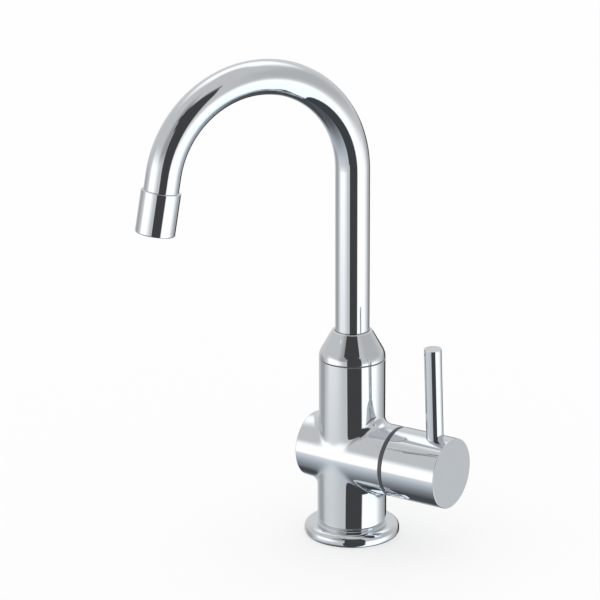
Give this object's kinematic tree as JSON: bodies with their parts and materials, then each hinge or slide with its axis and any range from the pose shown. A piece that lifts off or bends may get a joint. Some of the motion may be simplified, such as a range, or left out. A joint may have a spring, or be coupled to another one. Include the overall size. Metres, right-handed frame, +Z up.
{
  "type": "single-hole basin faucet",
  "caption": "Single-hole basin faucet: round flange, cross-shaped body, conical bonnet, swivelling gooseneck spout and a side handle with a pin lever, in polished chrome.",
  "frame": {"origin": "centre of the base's underside, on the deck's surface, on the column's axis", "axes": "+Z up out of the deck, +X along the barrel towards the handle, -Y towards the user"},
  "size_m": [0.1543, 0.1626, 0.3219],
  "materials": {
    "chrome": "polished chrome plate over brass",
    "brass": "turned brass",
    "steel": "stainless steel",
    "ceramic": "lapped ceramic",
    "rubber": "black rubber",
    "dark_plastic": "dark moulded plastic",
    "housing_plastic": "grey moulded plastic",
    "pale_plastic": "pale moulded plastic"
  },
  "bodies": {
    "fixed": {"base_flange": "chrome", "base_gasket": "rubber", "foot_o_ring": "rubber", "inlet_block": "brass", "inlet_seals": "rubber", "body": "chrome", "cartridge_base": "housing_plastic", "port_seals": "rubber", "fixed_disc": "ceramic", "cartridge_housing": "housing_plastic", "cartridge_nut": "brass", "shroud_ring": "dark_plastic", "lower_slide_ring": "pale_plastic", "upper_slide_ring": "pale_plastic", "bonnet_ring": "dark_plastic", "bonnet": "chrome"},
    "spout": {"spout_tube": "chrome", "swivel_sleeve": "brass", "spout_o_rings": "rubber", "aerator_shell": "chrome", "aerator_gasket": "rubber", "aerator_screen": "steel", "aerator_insert": "pale_plastic", "stream_straightener": "pale_plastic"},
    "handle": {"handle_cap": "chrome", "lever": "chrome", "grub_screw": "steel", "screw_cover": "dark_plastic", "spindle": "brass", "spindle_o_ring": "rubber", "disc_carrier": "dark_plastic", "moving_disc": "ceramic"}
  },
  "joints": [
    {"name": "spout_swivel", "type": "hinge", "parent": "fixed", "child": "spout", "pos_m": [0, 0, 0.11], "axis": [0, 0, 1], "continuous": true},
    {"name": "handle_turn", "type": "hinge", "parent": "fixed", "child": "handle", "pos_m": [0.0395, 0, 0.0559], "axis": [1, 0, 0], "range_deg": [0, 105]}
  ]
}
